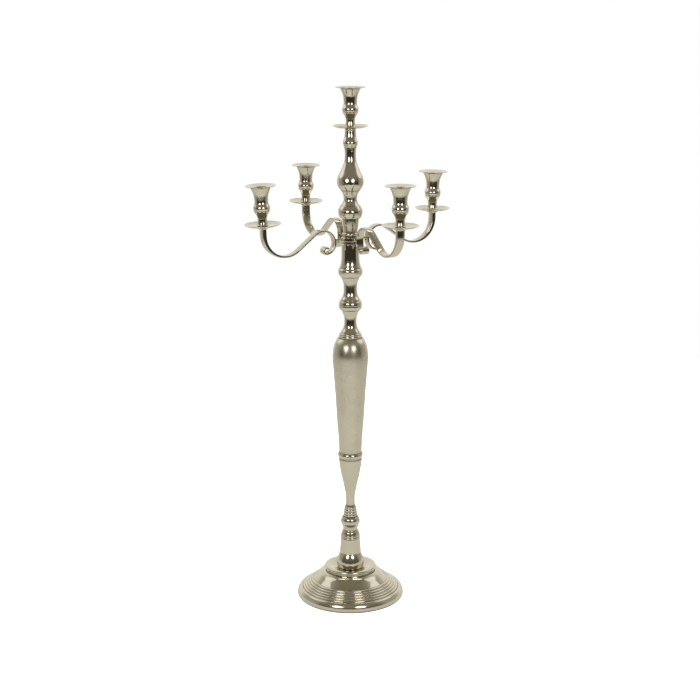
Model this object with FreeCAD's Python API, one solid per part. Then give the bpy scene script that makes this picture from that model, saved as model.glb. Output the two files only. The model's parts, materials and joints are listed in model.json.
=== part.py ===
"""Five-light candelabra: a ribbed foot, a turned column on a tie rod and four strap arms on a ring.

Millimetres, +Z up. The origin is the centre of the foot's underside. The arms point along +X, +Y, -X and -Y.
"""
import FreeCAD, Part
import math
import os

# ---- Foot ----
FELT_THICKNESS = 1.2
FELT_INSET = 2.0              # felt edge inside the foot's edge
BASE_RADIUS = 105.8
BASE_HEIGHT = 53.0            # where the plinth sits
BASE_WALL = 3.0
RIM_WIDTH = 11.2              # smooth band outside the ribs
RIM_RISE = 17.0               # height of the outermost groove
RIB_COUNT = 5
RIB_PITCH = 4.2
RIB_SLOPE = 0.84              # rise of the ribbed part per millimetre inwards
RIB_CREST = 1.8               # how far a rib stands above the line of the grooves
PLINTH_RADIUS = 51.4
PLINTH_EDGE = 3.7             # height of its outer edge
PLINTH_BEAD = 0.8             # how far the edge is rounded out
PLINTH_SWELL = 9.6            # height of its rounded swell
PLINTH_HEIGHT = 4.8           # height of the flat middle, where the bell foot sits
BALLAST_MARGIN = 34.0         # foot's edge to the edge of the weight plate
BALLAST_THICKNESS = 14.0
BALLAST_BOSS_RADIUS = 18.0
BALLAST_LIFT = 12.0           # underside of the weight plate above the table

# ---- Tie rod ----
ROD_RADIUS = 5.0
ROD_CLEARANCE = 0.25          # castings over the rod
NUT_ACROSS_FLATS = 17.0
NUT_HEIGHT = 8.0
WASHER_RADIUS = 12.0
WASHER_THICKNESS = 1.5
ROD_TIP_COVER = 12.0          # metal left above the rod in the top knob

# ---- Heights of the turned castings, bottom to top ----
BELL_HEIGHT = 70.2
BALL_HEIGHT = 36.0
RINGED_NECK_HEIGHT = 23.0
VASE_STEM_HEIGHT = 97.0
VASE_BEAD_HEIGHT = 13.0
VASE_HEIGHT = 231.0
VASE_CAP_HEIGHT = 54.5
LOWER_KNOP_HEIGHT = 64.5
SLEEVE_HEIGHT = 65.3
RING_SLOT_HEIGHT = 14.7       # space for the arm ring, with its end gaps
SOCKET_HEIGHT = 32.8
UPPER_KNOP_HEIGHT = 52.8
PEAR_HEIGHT = 80.4
TOP_KNOB_HEIGHT = 32.3
CASTING_WALL = 3.2            # wall of the hollow castings
CASTING_END = 6.0             # solid metal at each end of a hollow casting

# ---- Radii of the turned castings ----
BELL_RADIUS = 27.4
BELL_COLLAR_RADIUS = 19.3
BELL_RING_COUNT = 2
BELL_RING_HEIGHT = 4.2
BELL_RINGS_START = 0.86       # share of the bell's height where its collar rings start
BALL_RADIUS = 19.0
BALL_WAIST_RADIUS = 14.2
NECK_RING_COUNT = 4
NECK_RING_LARGE = 14.3
NECK_RING_SMALL = 11.8
NECK_RINGS_HEIGHT = 20.5      # the rings; a smooth cone fills the rest of the neck
VASE_STEM_RADIUS = 8.9
VASE_BEAD_RADIUS = 24.8
VASE_RADIUS = 34.8
VASE_FOOT_RADIUS = 22.2
VASE_CAP_WAIST_RADIUS = 11.8
SEAM_RADIUS = 18.0            # castings meet near this radius along the upper column
KNOP_RADIUS = 22.8
KNOP_WAIST_RADIUS = 12.9
SLEEVE_RADIUS = 17.3
PEAR_RADIUS = 25.4
PEAR_NECK_RADIUS = 10.6
TOP_KNOB_RADIUS = 14.4

# ---- Arm ring ----
RING_RADIUS = 17.5
RING_HUB_RADIUS = 15.4        # narrow part above and below the band
RING_FOOT = 3.4               # height of the narrow part below the band
RING_BAND = 8.0               # height of the wide band that the pegs stand in
RING_END_GAP = 0.3
RING_RUNNING_FIT = 0.06       # radial, ring on the rod

# ---- Arms ----
ARM_COUNT = 4
ARM_REACH = 182.5             # column axis to cup axis
ARM_SEAT_RISE = 41.2          # cup seat above the peg
ARM_TILTS = (-0.9, 0.8, -2.7, 0.0)   # degrees that each peg hole is off level, upwards positive
STRAP_WIDTH = 15.6
STRAP_THICKNESS = 4.0
STRAP_SEAT_THICKNESS = 9.0    # strap swells to this under the cup
STRAP_EDGE_ROUND = 0.9
BEND_RADIUS = 44.0            # the U under the cup
BEND_DROPS = (14.0, 12.8, 16.6, 12.8)    # lowest point of each strap's centre line below the peg
CREST_RADIUS = 25.5
CREST_RISES = (23.4, 30.2, 22.0, 28.0)   # highest point of each inner bend's centre line above the peg
INNER_FACE = 36.0             # column axis to the strap's centre line at the peg
SCROLL_RADII = (19.2, 19.2, 19.2, 16.6)
SCROLL_DROP = 3.5             # the scroll's bend is centred this far below the peg
CURL_RADIUS = 5.8
CURL_END_ANGLE = 150.0
PEG_RADIUS = 2.5
PEG_BITE = 3.4                # peg length in the strap
PEG_ROOT = 7.0                # peg length in the ring
PEG_CLEARANCE = 0.05

# ---- Cup set ----
FERRULE_RADIUS = 11.2
FERRULE_HEIGHT = 3.5
SEAT_GAP = 0.2                # under the ferrule
PAN_RADIUS = 34.2
PAN_FLAT_RADIUS = 20.0
PAN_DEPTH = 4.9
PAN_WALL = 1.5
PAN_GAP = 0.3                 # above and below the pan, which turns freely
STUD_RADIUS = 2.5
STUD_RUNNING_FIT = 0.05       # radial, stud in the tapped seat and in the pan
STUD_ENGAGEMENT = 10.0
STUD_IN_CUP = 12.0
SEAT_HOLE_DEPTH = 12.5
CUP_HEIGHT = 74.4
CUP_RIM_RADIUS = 28.7
CUP_RIM_THICKNESS = 1.7
CUP_DISH = 3.6                # depth of the dished rim at the candle hole
CUP_BULB_RADIUS = 15.8
CUP_WAIST_RADIUS = 12.7
CUP_NECK_RADIUS = 8.7
CUP_FOOT_RADIUS = 10.8
CANDLE_HOLE_RADIUS = 11.2
CANDLE_HOLE_DEPTH = 25.0

# ---- Heights of the seams, worked out from the foot up ----
PLINTH_Z = BASE_HEIGHT
BELL_Z = PLINTH_Z + PLINTH_HEIGHT
BALL_Z = BELL_Z + BELL_HEIGHT
RINGED_NECK_Z = BALL_Z + BALL_HEIGHT
VASE_STEM_Z = RINGED_NECK_Z + RINGED_NECK_HEIGHT
VASE_BEAD_Z = VASE_STEM_Z + VASE_STEM_HEIGHT
VASE_Z = VASE_BEAD_Z + VASE_BEAD_HEIGHT
VASE_CAP_Z = VASE_Z + VASE_HEIGHT
LOWER_KNOP_Z = VASE_CAP_Z + VASE_CAP_HEIGHT
SLEEVE_Z = LOWER_KNOP_Z + LOWER_KNOP_HEIGHT
RING_SLOT_Z = SLEEVE_Z + SLEEVE_HEIGHT
SOCKET_Z = RING_SLOT_Z + RING_SLOT_HEIGHT
UPPER_KNOP_Z = SOCKET_Z + SOCKET_HEIGHT
PEAR_Z = UPPER_KNOP_Z + UPPER_KNOP_HEIGHT
TOP_KNOB_Z = PEAR_Z + PEAR_HEIGHT
TOP_SEAT_Z = TOP_KNOB_Z + TOP_KNOB_HEIGHT
RING_Z = RING_SLOT_Z + RING_END_GAP
PEG_Z = RING_Z + RING_FOOT + RING_BAND / 2
RING_HEIGHT = RING_SLOT_HEIGHT - 2 * RING_END_GAP

BORE_RADIUS = ROD_RADIUS + ROD_CLEARANCE
SEAM_ROUND = 1.0              # small radius step where two castings meet
UP = FreeCAD.Vector(0, 0, 1)


def point(radius, height):
    """A point of an outline in the X-Z half plane."""
    return FreeCAD.Vector(radius, 0, height)


def run(points):
    """One edge: a straight line through two points, an arc through three, a smooth curve through more."""
    vectors = [point(*p) for p in points]
    if len(vectors) == 2:
        return Part.LineSegment(*vectors).toShape()
    if len(vectors) == 3:
        return Part.Arc(*vectors).toShape()
    curve = Part.BSplineCurve()
    curve.interpolate(vectors)
    return curve.toShape()


def outline(runs):
    """Closed face from runs of points. A gap between one run and the next is closed by a straight edge."""
    edges = []
    for index, points in enumerate(runs):
        previous_end = runs[index - 1][-1]
        if math.dist(previous_end, points[0]) > 1e-6:
            edges.append(run([previous_end, points[0]]))
        if len(points) > 1:
            edges.append(run(points))
    return Part.Face(Part.Wire(edges))


def revolved(runs):
    """Solid of revolution about the Z axis."""
    return outline(runs).revolve(FreeCAD.Vector(), UP, 360)


def cylinder(radius, height, z=0.0):
    return Part.makeCylinder(radius, height, point(0, z))


def turned(z, height, shape_runs, bore=BORE_RADIUS):
    """Turned casting over the tie rod. shape_runs holds (share of the height, radius) pairs, upwards."""
    outer = [[(radius, z + share * height) for share, radius in points] for points in shape_runs]
    return revolved([[(bore, z)]] + outer + [[(bore, z + height)]])


def hollow(z, height, shape, bore=BORE_RADIUS):
    """Turned casting of one smooth outline, cored out to CASTING_WALL between two solid ends."""
    casting = turned(z, height, [shape], bore)
    low = z + CASTING_END
    high = z + height - CASTING_END
    core = [(radius - CASTING_WALL, z + share * height) for share, radius in shape]
    core_solid = revolved([[(0, z)], core, [(0, z + height)]])
    window = cylinder(2 * max(radius for radius, _ in core), high - low, low)
    return casting.cut(core_solid.common(window))


def bead(r_low, r_high, z_low, z_high, bulge):
    """Half-round ring between two points of an outline."""
    return [(r_low, z_low), ((r_low + r_high) / 2 + bulge, (z_low + z_high) / 2), (r_high, z_high)]


# ---- Foot ----
def base_felt():
    return cylinder(BASE_RADIUS - FELT_INSET, FELT_THICKNESS)


def rib_runs():
    """Ribs of the foot, from the outermost groove inwards: half-round arcs on a straight slope."""
    runs = []
    for index in range(RIB_COUNT):
        outer = BASE_RADIUS - RIM_WIDTH - index * RIB_PITCH
        low = RIM_RISE + index * RIB_PITCH * RIB_SLOPE
        high = low + RIB_PITCH * RIB_SLOPE
        crest = (outer - RIB_PITCH / 2, (low + high) / 2 + RIB_CREST)
        runs.append([(outer, low), crest, (outer - RIB_PITCH, high)])
    return runs


def base_dish():
    ribs = rib_runs()
    rib_end_radius, rib_end_z = ribs[-1][-1]
    top_radius = PLINTH_RADIUS + 1.0
    shoulder = rib_end_radius - top_radius
    rise = BASE_HEIGHT - rib_end_z
    edge = [
        (BASE_RADIUS - 1.2, FELT_THICKNESS), (BASE_RADIUS, 3.4), (BASE_RADIUS - 0.1, 6.4),
        (BASE_RADIUS - 1.0, 10.6), (BASE_RADIUS - 3.2, 14.6), (BASE_RADIUS - 6.4, RIM_RISE + 0.8),
        (BASE_RADIUS - 9.0, RIM_RISE + 1.2), (BASE_RADIUS - RIM_WIDTH, RIM_RISE)]
    cone = [
        (rib_end_radius, rib_end_z), (top_radius + 0.66 * shoulder, rib_end_z + 0.40 * rise),
        (top_radius + 0.30 * shoulder, rib_end_z + 0.80 * rise), (top_radius, BASE_HEIGHT - 0.5)]
    seat_radius = PLINTH_RADIUS - 4
    seat = [[(seat_radius, BASE_HEIGHT)], [(0, BASE_HEIGHT)]]
    foot = revolved([[(0, FELT_THICKNESS)], edge] + ribs + [cone] + seat)
    inner_edge = BASE_RADIUS - 2.6 * BASE_WALL
    cavity = revolved([
        [(0, FELT_THICKNESS)], [(inner_edge, FELT_THICKNESS)], [(inner_edge, RIM_RISE - 2.7 * BASE_WALL)],
        [(rib_end_radius - BASE_WALL, rib_end_z - BASE_WALL)], [(seat_radius, BASE_HEIGHT - BASE_WALL)],
        [(0, BASE_HEIGHT - BASE_WALL)]])
    return foot.cut(cavity).cut(cylinder(BORE_RADIUS, BASE_HEIGHT + 1))


def base_ballast():
    """Weight plate with a boss that bears on the underside of the foot."""
    plate = cylinder(BASE_RADIUS - BALLAST_MARGIN, BALLAST_THICKNESS, BALLAST_LIFT)
    boss_height = BASE_HEIGHT - BASE_WALL - BALLAST_LIFT
    boss = cylinder(BALLAST_BOSS_RADIUS, boss_height, BALLAST_LIFT)
    return plate.fuse(boss).removeSplitter().cut(cylinder(BORE_RADIUS, BASE_HEIGHT))


def base_plinth():
    """Saucer-shaped disc: a rounded swell around the flat middle."""
    edge_z = BASE_HEIGHT + PLINTH_EDGE
    swell_z = BASE_HEIGHT + PLINTH_SWELL
    middle_z = BASE_HEIGHT + PLINTH_HEIGHT
    swell_radius = (PLINTH_RADIUS + BELL_RADIUS) / 2 + 2.0
    edge_radius = PLINTH_RADIUS - PLINTH_BEAD
    edge = bead(edge_radius, edge_radius, BASE_HEIGHT, edge_z, PLINTH_BEAD)
    swell = [
        (edge_radius, edge_z), ((PLINTH_RADIUS + swell_radius) / 2 + 1.2, (edge_z + swell_z) / 2 + 1.3),
        (swell_radius, swell_z), ((BELL_RADIUS + swell_radius) / 2, (middle_z + swell_z) / 2 + 0.4),
        (BELL_RADIUS - 1.0, middle_z)]
    return revolved([[(BORE_RADIUS, BASE_HEIGHT)], edge, swell, [(BORE_RADIUS, middle_z)]])


# ---- Column ----
def bell_foot():
    """Bell-shaped casting under two collar rings. The core stops below the rings."""
    ring_low = BELL_Z + BELL_RINGS_START * BELL_HEIGHT
    top = BELL_Z + BELL_HEIGHT
    edge = BELL_COLLAR_RADIUS - SEAM_ROUND
    bell = [(radius, BELL_Z + share * BELL_HEIGHT) for share, radius in (
        (0.0, BELL_RADIUS - 2.4), (0.05, BELL_RADIUS - 0.6), (0.12, BELL_RADIUS),
        (0.20, BELL_RADIUS - 0.4), (0.28, BELL_RADIUS - 1.5), (0.35, BELL_RADIUS - 3.2),
        (0.41, BELL_RADIUS - 4.8), (0.47, BELL_RADIUS - 5.7), (0.56, BELL_COLLAR_RADIUS + 1.5),
        (0.68, BELL_COLLAR_RADIUS + 0.6), (BELL_RINGS_START, BELL_COLLAR_RADIUS - 0.1))]
    rings = []
    for index in range(BELL_RING_COUNT):
        low = ring_low + index * BELL_RING_HEIGHT
        rings.append(bead(edge, edge, low, low + BELL_RING_HEIGHT, SEAM_ROUND))
    neck = [[(edge - SEAM_ROUND, top)], [(BORE_RADIUS, top)]]
    casting = revolved([[(BORE_RADIUS, BELL_Z)], bell] + rings + neck)
    core = [(radius - CASTING_WALL, z) for radius, z in bell[:-1]]
    core_solid = revolved([[(0, BELL_Z)], core, [(0, core[-1][1])]])
    core_height = ring_low - BELL_Z - 2 * CASTING_END
    window = cylinder(2 * BELL_RADIUS, core_height, BELL_Z + CASTING_END)
    return casting.cut(core_solid.common(window))


def ball_knop():
    return turned(BALL_Z, BALL_HEIGHT, [[
        (0.0, BALL_RADIUS - 1.6), (0.13, BALL_WAIST_RADIUS + 1.8), (0.22, BALL_WAIST_RADIUS),
        (0.36, BALL_WAIST_RADIUS + 0.3), (0.50, BALL_RADIUS - 3.0), (0.61, BALL_RADIUS - 0.8),
        (0.74, BALL_RADIUS), (0.89, BALL_RADIUS - 1.7), (1.0, NECK_RING_LARGE)]])


def ringed_neck():
    """Rings that shrink evenly from the ball up, then a smooth cone to the vase stem."""
    runs = []
    step = NECK_RINGS_HEIGHT / NECK_RING_COUNT
    shrink = (NECK_RING_LARGE - NECK_RING_SMALL) / NECK_RING_COUNT
    for index in range(NECK_RING_COUNT):
        low = RINGED_NECK_Z + index * step
        edge = NECK_RING_LARGE - SEAM_ROUND - index * shrink
        runs.append(bead(edge, edge - shrink, low, low + step, SEAM_ROUND))
    top = RINGED_NECK_Z + RINGED_NECK_HEIGHT
    cone_low = (NECK_RING_SMALL - SEAM_ROUND, RINGED_NECK_Z + NECK_RINGS_HEIGHT)
    runs.append([cone_low, (VASE_STEM_RADIUS + SEAM_ROUND / 2, top)])
    return revolved([[(BORE_RADIUS, RINGED_NECK_Z)]] + runs + [[(BORE_RADIUS, top)]])


def vase_stem():
    top = VASE_BEAD_RADIUS - 1.8
    slim = VASE_STEM_RADIUS
    return turned(VASE_STEM_Z, VASE_STEM_HEIGHT, [[
        (0.0, slim + 0.5), (0.05, slim + 0.1), (0.134, slim), (0.21, slim + 0.3), (0.31, slim + 2.0),
        (0.42, slim + 4.1), (0.53, slim + 6.3), (0.63, slim + 8.7), (0.74, slim + 10.7),
        (0.85, top - 1.6), (1.0, top)]])


def vase_bead():
    """Round bead over a narrower band."""
    band = VASE_BEAD_RADIUS - 2.2
    return turned(VASE_BEAD_Z, VASE_BEAD_HEIGHT, [
        [(0.0, band), (0.26, band)],
        [(0.26, band + 0.7), (0.62, VASE_BEAD_RADIUS), (0.96, band + 0.7)],
        [(1.0, band + 0.2)]])


def vase_body():
    slim = VASE_FOOT_RADIUS
    belly = VASE_RADIUS - slim
    shape = [
        (0.0, slim), (0.10, slim + 0.07 * belly), (0.28, slim + 0.31 * belly), (0.455, slim + 0.50 * belly),
        (0.63, slim + 0.73 * belly), (0.77, slim + 0.93 * belly), (0.853, VASE_RADIUS),
        (0.91, VASE_RADIUS - 1.2), (0.955, VASE_RADIUS - 4.2), (0.985, VASE_RADIUS - 8.4),
        (1.0, VASE_RADIUS - 11.8)]
    return hollow(VASE_Z, VASE_HEIGHT, shape)


def vase_cap():
    """Two stepped rings and a slim waist above the vase."""
    waist = VASE_CAP_WAIST_RADIUS
    step = VASE_RADIUS - 12.6
    return turned(VASE_CAP_Z, VASE_CAP_HEIGHT, [
        [(0.0, step), (0.047, step + 0.6), (0.094, step - 0.4)],
        [(0.094, step - 1.2), (0.131, step - 0.9), (0.168, step - 2.4)],
        [(0.168, step - 3.0), (0.243, waist + 5.4), (0.365, waist + 1.8), (0.487, waist + 0.4),
         (0.636, waist), (0.80, waist + 1.0), (0.87, waist + 2.6), (0.94, waist + 4.4),
         (1.0, waist + 5.8)]])


def lower_knop():
    """Knop of two stepped rings under a slim waist."""
    waist = KNOP_WAIST_RADIUS
    return turned(LOWER_KNOP_Z, LOWER_KNOP_HEIGHT, [
        [(0.0, SEAM_RADIUS + 0.6), (0.04, KNOP_RADIUS - 2.0), (0.15, KNOP_RADIUS - 0.7)],
        [(0.15, KNOP_RADIUS - 0.5), (0.19, KNOP_RADIUS - 0.4), (0.28, KNOP_RADIUS - 2.4)],
        [(0.28, KNOP_RADIUS - 3.3), (0.345, KNOP_RADIUS - 5.0), (0.40, waist + 2.7), (0.47, waist + 1.0),
         (0.59, waist), (0.70, waist + 0.1), (0.80, waist + 0.5), (0.89, waist + 2.3),
         (0.95, waist + 4.0), (1.0, waist + 5.1)]])


def column_sleeve():
    """Flared foot of two stepped rings and the straight sleeve under the arm ring."""
    return turned(SLEEVE_Z, SLEEVE_HEIGHT, [
        [(0.0, SEAM_RADIUS + 1.0), (0.04, KNOP_RADIUS - 1.6), (0.16, KNOP_RADIUS + 0.7)],
        [(0.16, KNOP_RADIUS + 0.9), (0.18, KNOP_RADIUS + 1.0), (0.258, KNOP_RADIUS - 1.2)],
        [(0.258, KNOP_RADIUS - 1.8), (0.30, KNOP_RADIUS - 2.3), (0.34, KNOP_RADIUS - 3.2),
         (0.39, SLEEVE_RADIUS + 1.3), (0.45, SLEEVE_RADIUS + 0.7), (0.54, SLEEVE_RADIUS + 0.2),
         (0.675, SLEEVE_RADIUS), (0.81, SLEEVE_RADIUS)],
        [(0.97, SLEEVE_RADIUS)],
        [(1.0, SLEEVE_RADIUS - SEAM_ROUND)]])


def arm_ring():
    """Ring that turns on the tie rod, with a tapped hole for each peg."""
    low = PEG_Z - RING_BAND / 2
    high = PEG_Z + RING_BAND / 2
    top = RING_Z + RING_HEIGHT
    bore = ROD_RADIUS + RING_RUNNING_FIT
    round_off = 0.8
    ring = revolved([
        [(bore, RING_Z)], [(RING_HUB_RADIUS, RING_Z)], [(RING_HUB_RADIUS, low)],
        [(RING_RADIUS - round_off, low)], [(RING_RADIUS, low + round_off)],
        [(RING_RADIUS, high - round_off)], [(RING_RADIUS - round_off, high)],
        [(RING_HUB_RADIUS, high)], [(RING_HUB_RADIUS, top)], [(bore, top)]])
    for index in range(ARM_COUNT):
        hole = peg_rod(PEG_RADIUS + PEG_CLEARANCE, RING_RADIUS - PEG_ROOT, RING_RADIUS + 5)
        ring = ring.cut(on_arm(hole, index))
    return ring


def upper_socket():
    """Tapered socket over the arm ring, with a small ring at its foot."""
    foot = RING_HUB_RADIUS
    return turned(SOCKET_Z, SOCKET_HEIGHT, [
        [(0.0, foot - 0.5), (0.085, foot + 0.5), (0.17, foot - 0.6)],
        [(0.17, foot - 2.0), (0.34, foot - 1.5), (0.64, foot), (0.85, foot + 0.8), (1.0, foot + 1.2)]])


def upper_knop():
    """Knop of three stepped rings under a slim waist."""
    waist = KNOP_WAIST_RADIUS
    return turned(UPPER_KNOP_Z, UPPER_KNOP_HEIGHT, [
        [(0.0, SEAM_RADIUS + 0.8), (0.06, KNOP_RADIUS - 1.6), (0.185, KNOP_RADIUS + 0.4)],
        [(0.185, KNOP_RADIUS + 0.6), (0.25, KNOP_RADIUS + 0.9), (0.32, KNOP_RADIUS + 0.2)],
        [(0.32, KNOP_RADIUS - 0.6), (0.385, KNOP_RADIUS - 1.9), (0.45, KNOP_RADIUS - 3.6)],
        [(0.45, KNOP_RADIUS - 4.2), (0.50, KNOP_RADIUS - 6.6), (0.55, waist + 1.9), (0.62, waist + 0.4),
         (0.70, waist - 0.2), (0.76, waist + 0.1), (0.824, waist + 0.7), (0.928, SEAM_RADIUS - 1.9),
         (1.0, SEAM_RADIUS + 0.5)]])


def pear_knop():
    return turned(PEAR_Z, PEAR_HEIGHT, [[
        (0.0, SEAM_RADIUS + 0.6), (0.067, PEAR_RADIUS - 3.1), (0.117, PEAR_RADIUS - 1.0),
        (0.215, PEAR_RADIUS), (0.353, PEAR_RADIUS - 2.6), (0.42, PEAR_RADIUS - 5.4),
        (0.49, PEAR_RADIUS - 8.1), (0.565, PEAR_NECK_RADIUS + 4.2), (0.65, PEAR_NECK_RADIUS + 1.7),
        (0.75, PEAR_NECK_RADIUS + 0.2), (0.84, PEAR_NECK_RADIUS), (0.93, PEAR_NECK_RADIUS + 0.4),
        (1.0, PEAR_NECK_RADIUS + 1.2)]])


def top_knob():
    """Knob that closes the column: the rod enters from below, the centre cup's stud from above."""
    rod_room = TOP_KNOB_HEIGHT - ROD_TIP_COVER
    knob = turned(TOP_KNOB_Z, TOP_KNOB_HEIGHT, [
        [(0.0, PEAR_NECK_RADIUS + 1.6), (0.08, TOP_KNOB_RADIUS - 1.6), (0.26, TOP_KNOB_RADIUS),
         (0.42, TOP_KNOB_RADIUS - 1.0), (0.62, PEAR_NECK_RADIUS + 0.8), (0.82, PEAR_NECK_RADIUS + 0.1)],
        [(0.97, PEAR_NECK_RADIUS + 0.1)]], bore=0)
    knob = knob.cut(cylinder(BORE_RADIUS, rod_room, TOP_KNOB_Z))
    return knob.cut(seat_hole(TOP_SEAT_Z))


def tie_rod():
    bottom = BALLAST_LIFT - WASHER_THICKNESS - NUT_HEIGHT - 0.5
    return cylinder(ROD_RADIUS, TOP_SEAT_Z - ROD_TIP_COVER - 1.0 - bottom, bottom)


def rod_washer():
    ring = cylinder(WASHER_RADIUS, WASHER_THICKNESS, BALLAST_LIFT - WASHER_THICKNESS)
    return ring.cut(cylinder(BORE_RADIUS, BALLAST_LIFT))


def rod_nut():
    bottom = BALLAST_LIFT - WASHER_THICKNESS - NUT_HEIGHT
    corner = NUT_ACROSS_FLATS / math.sqrt(3)
    corners = [FreeCAD.Vector(corner * math.cos(k * math.pi / 3), corner * math.sin(k * math.pi / 3), bottom)
               for k in range(7)]
    prism = Part.Face(Part.makePolygon(corners)).extrude(FreeCAD.Vector(0, 0, NUT_HEIGHT))
    return prism.cut(cylinder(ROD_RADIUS, NUT_HEIGHT, bottom))


# ---- Arms ----
def on_arm(shape, index):
    """Moves a shape from the arm's own frame (column axis at X = 0, peg at Z = 0) to arm number index."""
    placed = shape.copy()
    placed.rotate(point(RING_RADIUS, 0), FreeCAD.Vector(0, 1, 0), -ARM_TILTS[index])
    placed.translate(point(0, PEG_Z))
    placed.rotate(FreeCAD.Vector(), UP, index * 360 / ARM_COUNT)
    return placed


def peg_rod(radius, start, end):
    return Part.makeCylinder(radius, end - start, point(start, 0), FreeCAD.Vector(1, 0, 0))


def circle_point(centre, radius, degrees):
    angle = math.radians(degrees)
    return (centre[0] + radius * math.cos(angle), centre[1] + radius * math.sin(angle))


def arc_run(centre, radii, degrees):
    """Three points of an arc. radii may differ, which swells or thins the strap along the bend."""
    return [circle_point(centre, radius, angle) for radius, angle in zip(radii, degrees)]


def strap_side(side, crest_rise, bend_drop, scroll_radius):
    """One face of the strap, from the curl to the cup seat. side is +1 on the left of the way along it."""
    half = side * STRAP_THICKNESS / 2
    half_seat = side * STRAP_SEAT_THICKNESS / 2
    bend = (ARM_REACH - BEND_RADIUS, BEND_RADIUS - bend_drop)
    crest = (INNER_FACE + CREST_RADIUS, crest_rise - CREST_RADIUS)
    scroll = (INNER_FACE + scroll_radius, -SCROLL_DROP)
    curl = (scroll[0], scroll[1] - scroll_radius + CURL_RADIUS)
    apart = math.dist(bend, crest)
    bearing = math.degrees(math.atan2(bend[1] - crest[1], bend[0] - crest[0]))
    fall = math.degrees(math.asin((BEND_RADIUS + CREST_RADIUS) / apart)) - bearing
    lean = 270 - fall
    swell = [STRAP_THICKNESS, (STRAP_THICKNESS + STRAP_SEAT_THICKNESS) / 2, STRAP_SEAT_THICKNESS]
    return [
        arc_run(curl, [CURL_RADIUS + half] * 3, (CURL_END_ANGLE, CURL_END_ANGLE / 2 - 45, -90)),
        arc_run(scroll, [scroll_radius + half] * 3, (270, 225, 180)),
        arc_run(crest, [CREST_RADIUS + half] * 3, (180, 135 - fall / 2, 90 - fall)),
        arc_run(bend, [BEND_RADIUS - half] * 3, (lean, (lean + 270) / 2, 270)),
        arc_run(bend, [BEND_RADIUS - side * t / 2 for t in swell], (270, 315, 360)),
        [(ARM_REACH - half_seat, ARM_SEAT_RISE - SEAT_GAP)],
    ]


def arm_strap(*bends):
    """Strap bent in an S, with a curl at its inner end and a tapped seat at its outer end."""
    left = strap_side(+1, *bends)
    right = strap_side(-1, *bends)
    tip_angle = math.radians(CURL_END_ANGLE)
    tip_mid = ((left[0][0][0] + right[0][0][0]) / 2, (left[0][0][1] + right[0][0][1]) / 2)
    tip_reach = STRAP_THICKNESS / 2
    tip = (tip_mid[0] - tip_reach * math.sin(tip_angle), tip_mid[1] + tip_reach * math.cos(tip_angle))
    back = [points[::-1] for points in right[::-1]]
    face = outline(left + back + [[right[0][0], tip, left[0][0]]])
    face.translate(FreeCAD.Vector(0, -STRAP_WIDTH / 2, 0))
    strap = face.extrude(FreeCAD.Vector(0, STRAP_WIDTH, 0))
    rims = [edge for edge in strap.Edges if edge_is_flat_at(edge, STRAP_WIDTH / 2)]
    strap = strap.makeFillet(STRAP_EDGE_ROUND, rims)
    hole = seat_hole(ARM_SEAT_RISE)
    hole.translate(point(ARM_REACH, 0))
    strap = strap.cut(hole)
    socket_end = INNER_FACE - STRAP_THICKNESS / 2 + PEG_BITE
    socket = peg_rod(PEG_RADIUS + PEG_CLEARANCE, INNER_FACE - STRAP_THICKNESS, socket_end)
    return strap.cut(socket)


def edge_is_flat_at(edge, distance):
    """True for an edge that lies wholly in one of the strap's two side planes."""
    box = edge.BoundBox
    return box.YMax - box.YMin < 1e-6 and abs(abs(box.YMax) - distance) < 1e-6


def arm_peg():
    return peg_rod(PEG_RADIUS, RING_RADIUS - PEG_ROOT, INNER_FACE - STRAP_THICKNESS / 2 + PEG_BITE - 0.1)


# ---- Cup set: made about the Z axis with the seat at the given height ----
def seat_hole(seat_z):
    return cylinder(STUD_RADIUS + STUD_RUNNING_FIT, SEAT_HOLE_DEPTH + 1, seat_z - SEAT_HOLE_DEPTH)


def cup_ferrule(seat_z):
    low = seat_z
    high = seat_z + FERRULE_HEIGHT
    edge = bead(FERRULE_RADIUS - 0.7, FERRULE_RADIUS - 0.7, low, high, 0.7)
    return revolved([[(STUD_RADIUS, low)], edge, [(STUD_RADIUS, high)]])


def drip_pan(seat_z):
    z = seat_z + FERRULE_HEIGHT + PAN_GAP
    side = PAN_RADIUS - PAN_FLAT_RADIUS
    under = [
        (PAN_FLAT_RADIUS, z), (PAN_FLAT_RADIUS + 0.52 * side, z + 0.20 * PAN_DEPTH),
        (PAN_FLAT_RADIUS + 0.84 * side, z + 0.58 * PAN_DEPTH), (PAN_RADIUS, z + PAN_DEPTH - 0.8)]
    inside = [
        (PAN_RADIUS - 1.3, z + PAN_DEPTH - 0.4),
        (PAN_FLAT_RADIUS + 0.76 * side, z + PAN_WALL + 0.48 * PAN_DEPTH),
        (PAN_FLAT_RADIUS + 0.44 * side, z + PAN_WALL + 0.16 * PAN_DEPTH),
        (PAN_FLAT_RADIUS - 1, z + PAN_WALL)]
    lip = [under[-1], (PAN_RADIUS - 0.3, z + PAN_DEPTH), inside[0]]
    hole = STUD_RADIUS + STUD_RUNNING_FIT
    return revolved([[(hole, z)], under, lip, inside, [(hole, z + PAN_WALL)]])


def cup_foot_z(seat_z):
    return seat_z + FERRULE_HEIGHT + PAN_WALL + 2 * PAN_GAP


def cup_stud(seat_z):
    bottom = seat_z - STUD_ENGAGEMENT
    return cylinder(STUD_RADIUS, cup_foot_z(seat_z) + STUD_IN_CUP - bottom, bottom)


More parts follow.
